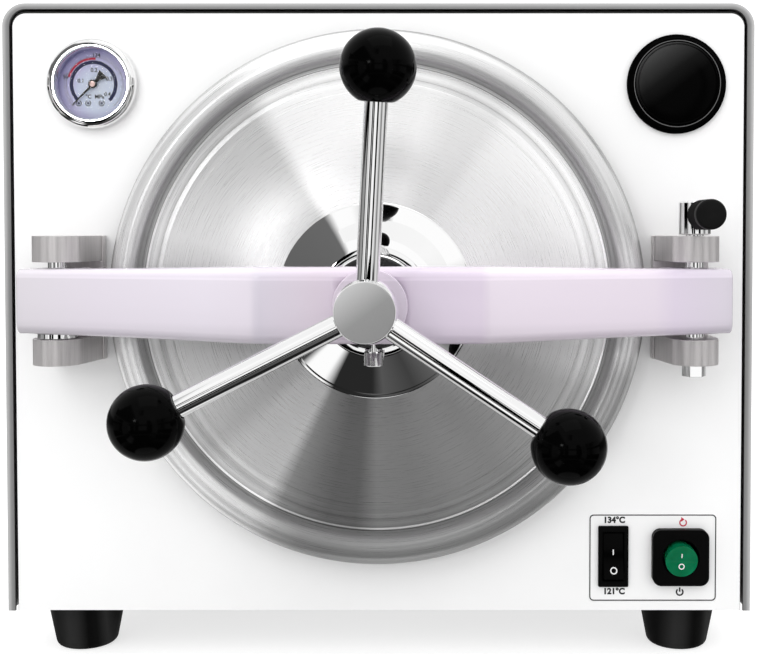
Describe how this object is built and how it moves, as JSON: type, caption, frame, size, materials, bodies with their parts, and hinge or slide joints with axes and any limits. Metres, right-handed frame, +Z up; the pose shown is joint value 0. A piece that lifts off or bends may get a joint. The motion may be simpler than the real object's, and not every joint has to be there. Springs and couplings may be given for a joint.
{
  "type": "benchtop autoclave",
  "caption": "Front-loading benchtop steam autoclave: painted cabinet, horizontal chamber, swinging beam with a screw-down lid, latch, gauge, timer and rocker switches.",
  "frame": {"origin": "on the bench, under the middle of the whole object's footprint", "axes": "+Z up, the front with the lid faces -Y, +X to the right as seen from the front"},
  "size_m": [0.4244, 0.551, 0.37],
  "materials": {
    "grey_paint": "smooth grey paint",
    "white_paint": "gloss white paint",
    "beam_paint": "gloss pale lavender-white paint",
    "zinc_steel": "zinc plated, dull",
    "stainless": "satin",
    "lid_steel": "circular brushed",
    "satin_grey": "satin nickel-plated casting",
    "chrome": "mirror",
    "brass": "machined",
    "copper": "drawn tube",
    "rubber": "matte",
    "silicone": "matte",
    "glass_wool": "fibrous",
    "black_gloss": "gloss",
    "black_plastic": "fine matte",
    "green_plastic": "translucent gloss",
    "label_film": "satin film",
    "dial_print": "matte print",
    "needle_black": "matte",
    "clear_lens": "clear",
    "pale_plastic": "matte",
    "cable": "matte sleeve"
  },
  "bodies": {
    "cabinet": {"cover": "grey_paint", "front_panel": "white_paint", "rear_panel": "white_paint", "base_plate": "zinc_steel", "rubber_feet": "rubber", "foot_screws": "zinc_steel", "cabinet_screws": "zinc_steel", "chamber_shell": "stainless", "mouth_frame": "stainless", "chamber_insulation": "glass_wool", "insulation_straps": "zinc_steel", "chamber_saddles": "zinc_steel", "heating_element": "stainless", "heater_guard": "stainless", "tray_rack": "stainless", "instrument_trays": "stainless", "hinge_bracket": "satin_grey", "latch_bracket": "satin_grey", "bracket_bolts": "zinc_steel", "hinge_pin": "chrome", "hinge_washer": "chrome", "gauge_case": "stainless", "gauge_bezel": "chrome", "gauge_dial": "dial_print", "gauge_lens": "clear_lens", "gauge_tube": "copper", "timer_case": "black_plastic", "switch_label": "label_film", "temperature_switch_case": "black_plastic", "power_switch_case": "black_plastic", "pressure_controllers": "pale_plastic", "exhaust_valve": "brass", "exhaust_pipe": "copper", "drain_spigot": "chrome", "safety_valve": "brass", "terminal_block": "pale_plastic", "power_inlet": "black_plastic", "wiring_harness": "cable"},
    "gauge_needle": {"gauge_needle": "needle_black"},
    "timer": {"timer_knob": "black_gloss"},
    "temperature_key": {"temperature_rocker": "black_gloss"},
    "power_key": {"power_rocker": "green_plastic"},
    "valve_pull": {"safety_valve_ring": "chrome"},
    "latch": {"latch_pin": "chrome", "latch_head": "chrome", "latch_grip": "rubber", "latch_nut": "chrome"},
    "door_beam": {"beam": "beam_paint", "beam_nut": "beam_paint"},
    "lid_carriage": {"lid_disc": "lid_steel", "lid_gasket": "silicone", "lid_cone": "chrome", "lid_collar": "chrome", "collar_screw": "chrome"},
    "handle": {"spindle": "chrome", "handle_hub": "chrome", "hub_cap": "satin_grey", "handle_rods": "chrome", "ball_knobs": "black_gloss"}
  },
  "joints": [
    {"name": "door_swing", "type": "hinge", "parent": "cabinet", "child": "door_beam", "pos_m": [-0.171, -0.1595, 0.206], "axis": [0, 0, -1], "range_deg": [0, 110]},
    {"name": "lid_travel", "type": "slide", "parent": "door_beam", "child": "lid_carriage", "axis": [0, -1, 0], "range_m": [0, 0.006]},
    {"name": "handle_turn", "type": "hinge", "parent": "lid_carriage", "child": "handle", "pos_m": [0, -0.1295, 0.206], "axis": [0, -1, 0], "range_deg": [0, 540]},
    {"name": "latch_turn", "type": "hinge", "parent": "cabinet", "child": "latch", "pos_m": [0.171, -0.1595, 0.206], "axis": [0, 0, 1], "range_deg": [0, 90]},
    {"name": "needle_turn", "type": "hinge", "parent": "cabinet", "child": "gauge_needle", "pos_m": [-0.1594, -0.1295, 0.325], "axis": [0, 1, 0], "range_deg": [0, 270]},
    {"name": "timer_turn", "type": "hinge", "parent": "cabinet", "child": "timer", "pos_m": [0.1665, -0.1295, 0.325], "axis": [0, 1, 0], "range_deg": [0, 300]},
    {"name": "temperature_rock", "type": "hinge", "parent": "cabinet", "child": "temperature_key", "pos_m": [0.1324, -0.1295, 0.0591], "axis": [1, 0, 0], "range_deg": [0, 18]},
    {"name": "power_rock", "type": "hinge", "parent": "cabinet", "child": "power_key", "pos_m": [0.17, -0.1295, 0.0591], "axis": [-1, 0, 0], "range_deg": [0, 18]},
    {"name": "valve_pull", "type": "slide", "parent": "cabinet", "child": "valve_pull", "axis": [0, 1, 0], "range_m": [0, 0.003]}
  ],
  "couplings": [
    {"joint": "lid_travel", "follows": "handle_turn", "m_per_rad": 0.00063662}
  ]
}
